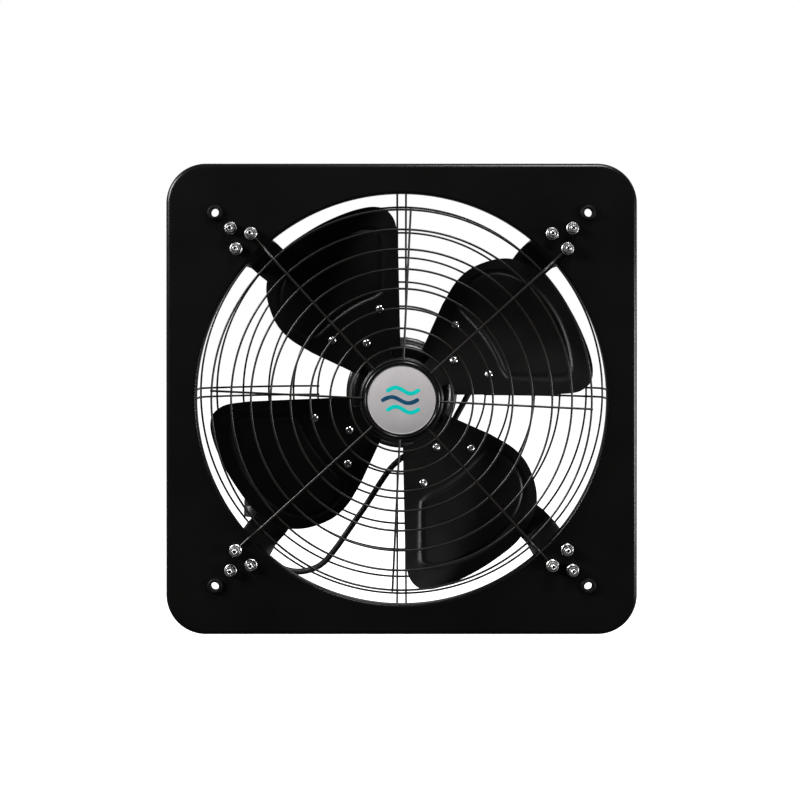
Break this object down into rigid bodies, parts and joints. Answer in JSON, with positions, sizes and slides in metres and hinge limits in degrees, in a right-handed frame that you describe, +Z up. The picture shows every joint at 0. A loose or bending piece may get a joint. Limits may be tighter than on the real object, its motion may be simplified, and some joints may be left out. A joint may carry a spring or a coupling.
{
  "type": "plate-mounted axial exhaust fan",
  "caption": "Square wall-plate axial exhaust fan with a round opening, wide stamped blades on a motor behind, wire guards front and rear, a round badge and a coiled mains lead.",
  "frame": {"origin": "on the fan's axis, in the plane of the wall that the plate's rim stands on", "axes": "+X right and +Z up as the fan is seen from its front, +Y back along the fan's axis into the wall"},
  "size_m": [0.473, 0.1473, 0.473],
  "materials": {
    "plate_paint": "satin black stove enamel on pressed steel sheet",
    "arm_paint": "satin black stove enamel",
    "guard_paint": "semi-gloss black coating on steel wire",
    "motor_paint": "black paint on die-cast aluminium",
    "hub_paint": "satin black",
    "blade_paint": "satin black stove enamel",
    "zinc": "bright zinc plate",
    "rivet_aluminium": "bright aluminium",
    "bearing_steel": "ground steel",
    "lamination_steel": "stacked electrical steel",
    "copper": "enamelled copper wire",
    "grommet_rubber": "matte black rubber",
    "badge_grey": "satin grey with a printed pictogram",
    "badge_black": "moulded black",
    "box_plastic": "moulded black nylon",
    "capacitor_plastic": "black potted case",
    "cord_jacket": "matte black jacket",
    "tie_plastic": "black nylon strap",
    "plug_plastic": "moulded black with nickel pins"
  },
  "bodies": {
    "frame": {"frame_plate": "plate_paint", "mount_grommet_1": "grommet_rubber", "mount_grommet_2": "grommet_rubber", "mount_grommet_3": "grommet_rubber", "mount_grommet_4": "grommet_rubber", "motor_arm_1": "arm_paint", "motor_arm_2": "arm_paint", "motor_arm_3": "arm_paint", "motor_arm_4": "arm_paint", "frame_bolt_1": "zinc", "frame_bolt_2": "zinc", "frame_bolt_3": "zinc", "frame_bolt_4": "zinc", "frame_bolt_5": "zinc", "frame_bolt_6": "zinc", "frame_bolt_7": "zinc", "frame_bolt_8": "zinc", "frame_bolt_9": "zinc", "frame_bolt_10": "zinc", "frame_bolt_11": "zinc", "frame_bolt_12": "zinc", "front_guard": "guard_paint", "badge_bezel": "badge_black", "badge_disc": "badge_grey", "rear_guard": "guard_paint", "motor_front_bell": "motor_paint", "motor_rear_bell": "motor_paint", "stator_core": "lamination_steel", "stator_winding": "copper", "front_bearing": "bearing_steel", "rear_bearing": "bearing_steel", "capacitor_box": "box_plastic", "capacitor_box_lid": "box_plastic", "run_capacitor": "capacitor_plastic", "cord_gland": "box_plastic", "mains_cord": "cord_jacket", "cord_coil": "cord_jacket", "cord_tie_1": "tie_plastic", "cord_tie_2": "tie_plastic", "plug": "plug_plastic"},
    "rotor": {"shaft": "bearing_steel", "rotor_core": "lamination_steel", "hub": "hub_paint", "hub_nut": "zinc", "blade_1": "blade_paint", "blade_2": "blade_paint", "blade_3": "blade_paint", "blade_4": "blade_paint", "blade_rivet_1": "rivet_aluminium", "blade_rivet_2": "rivet_aluminium", "blade_rivet_3": "rivet_aluminium", "blade_rivet_4": "rivet_aluminium", "blade_rivet_5": "rivet_aluminium", "blade_rivet_6": "rivet_aluminium", "blade_rivet_7": "rivet_aluminium", "blade_rivet_8": "rivet_aluminium", "blade_rivet_9": "rivet_aluminium", "blade_rivet_10": "rivet_aluminium", "blade_rivet_11": "rivet_aluminium", "blade_rivet_12": "rivet_aluminium"}
  },
  "joints": [
    {"name": "rotor_spin", "type": "hinge", "parent": "frame", "child": "rotor", "pos_m": [0, 0.034, 0], "axis": [0, 1, 0], "continuous": true}
  ]
}
